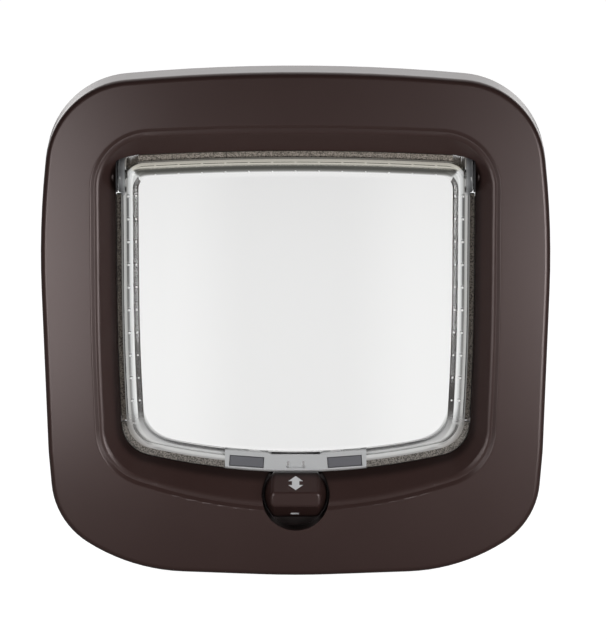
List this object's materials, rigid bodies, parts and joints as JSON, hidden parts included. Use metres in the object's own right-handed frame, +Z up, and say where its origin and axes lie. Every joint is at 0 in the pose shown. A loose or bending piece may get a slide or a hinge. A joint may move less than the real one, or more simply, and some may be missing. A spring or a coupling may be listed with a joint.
{
  "type": "cat flap",
  "caption": "Framed clear two-way flap for a pet, with a rotary lock knob, brush seals, a magnetic catch and a liner that runs into the door.",
  "frame": {"origin": "middle of the fixing holes, on the plane of the door's face", "axes": "+Y into the door, -Y into the room, +Z up, +X to the right seen from the room"},
  "size_m": [0.2364, 0.0618, 0.2401],
  "materials": {
    "brown_plastic": "satin",
    "clear_plastic": "clear",
    "milky_plastic": "satin",
    "pile": "pile",
    "steel": "zinc plated",
    "magnet": "satin"
  },
  "bodies": {
    "frame": {"front_frame": "brown_plastic", "door_liner": "brown_plastic", "liner_screws": "steel", "hinge_pin_left": "steel", "hinge_pin_right": "steel", "sill_magnet_left": "magnet", "sill_magnet_right": "magnet", "detent_spring": "steel"},
    "flap": {"flap_panel": "clear_plastic", "pile_strip_top": "pile", "pile_strip_left": "pile", "pile_strip_right": "pile", "pile_strip_bottom_left": "pile", "pile_strip_bottom_right": "pile", "magnet_carrier": "milky_plastic", "flap_magnet_left": "magnet", "flap_magnet_right": "magnet"},
    "lock": {"lock_knob": "brown_plastic", "lock_cam": "brown_plastic", "cam_screw": "steel"}
  },
  "joints": [
    {"name": "flap_swing", "type": "hinge", "parent": "frame", "child": "flap", "pos_m": [0, -0.0068, 0.069], "axis": [1, 0, 0], "range_deg": [-85, 85]},
    {"name": "lock_turn", "type": "hinge", "parent": "frame", "child": "lock", "pos_m": [0, -0.0068, -0.0832], "axis": [0, 1, 0], "continuous": true, "deforming": ["detent_spring"]}
  ]
}
